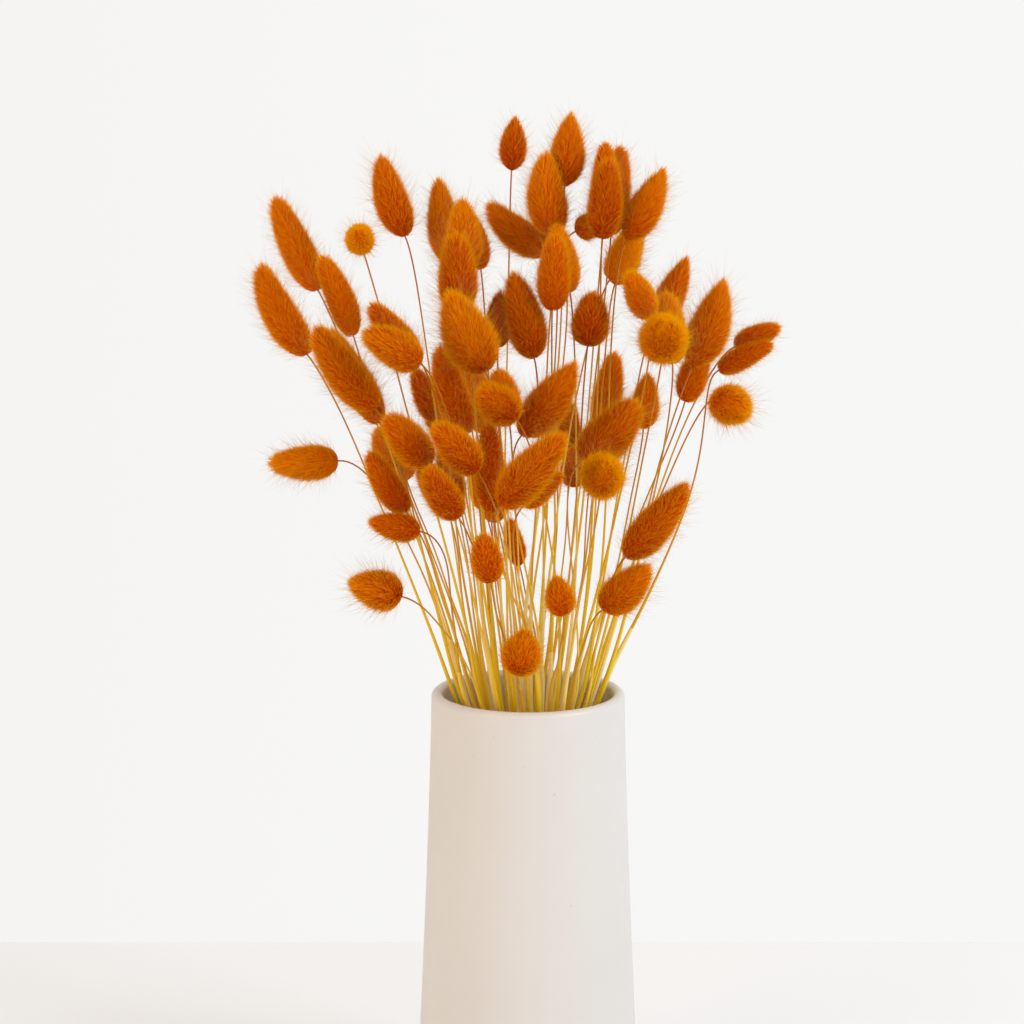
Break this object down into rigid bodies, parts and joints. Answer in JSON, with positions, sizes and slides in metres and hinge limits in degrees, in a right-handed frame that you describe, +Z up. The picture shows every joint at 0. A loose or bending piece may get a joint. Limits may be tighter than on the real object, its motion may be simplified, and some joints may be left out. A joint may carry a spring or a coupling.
{
  "type": "vase of dried bunny tail grass",
  "caption": "Tall plain round vase with a thick lip, holding a loose bunch of dried bunny tail grass: fluffy rust-orange seed heads on thin straw-coloured stems.",
  "frame": {"origin": "centre of the vase's flat foot, on the surface that it stands on", "axes": "+Z up along the vase's axis; -Y faces the side that the picture shows, with +X to its right"},
  "size_m": [0.2666, 0.2272, 0.5362],
  "materials": {
    "vase": "matte",
    "stems": "matte",
    "tails": "matte"
  },
  "bodies": {
    "root": {"vase": "vase", "stems": "stems", "bunny_tail_01": "tails", "bunny_tail_02": "tails", "bunny_tail_03": "tails", "bunny_tail_04": "tails", "bunny_tail_05": "tails", "bunny_tail_06": "tails", "bunny_tail_07": "tails", "bunny_tail_08": "tails", "bunny_tail_09": "tails", "bunny_tail_10": "tails", "bunny_tail_11": "tails", "bunny_tail_12": "tails", "bunny_tail_13": "tails", "bunny_tail_14": "tails", "bunny_tail_15": "tails", "bunny_tail_16": "tails", "bunny_tail_17": "tails", "bunny_tail_18": "tails", "bunny_tail_19": "tails", "bunny_tail_20": "tails", "bunny_tail_21": "tails", "bunny_tail_22": "tails", "bunny_tail_23": "tails", "bunny_tail_24": "tails", "bunny_tail_25": "tails", "bunny_tail_26": "tails", "bunny_tail_27": "tails", "bunny_tail_28": "tails", "bunny_tail_29": "tails", "bunny_tail_30": "tails", "bunny_tail_31": "tails", "bunny_tail_32": "tails", "bunny_tail_33": "tails", "bunny_tail_34": "tails", "bunny_tail_35": "tails", "bunny_tail_36": "tails", "bunny_tail_37": "tails", "bunny_tail_38": "tails", "bunny_tail_39": "tails", "bunny_tail_40": "tails", "bunny_tail_41": "tails", "bunny_tail_42": "tails", "bunny_tail_43": "tails", "bunny_tail_44": "tails", "bunny_tail_45": "tails", "bunny_tail_46": "tails", "bunny_tail_47": "tails", "bunny_tail_48": "tails", "bunny_tail_49": "tails", "bunny_tail_50": "tails", "bunny_tail_51": "tails", "bunny_tail_52": "tails", "bunny_tail_53": "tails", "bunny_tail_54": "tails", "bunny_tail_55": "tails", "bunny_tail_56": "tails", "bunny_tail_57": "tails", "bunny_tail_58": "tails"}
  },
  "joints": []
}
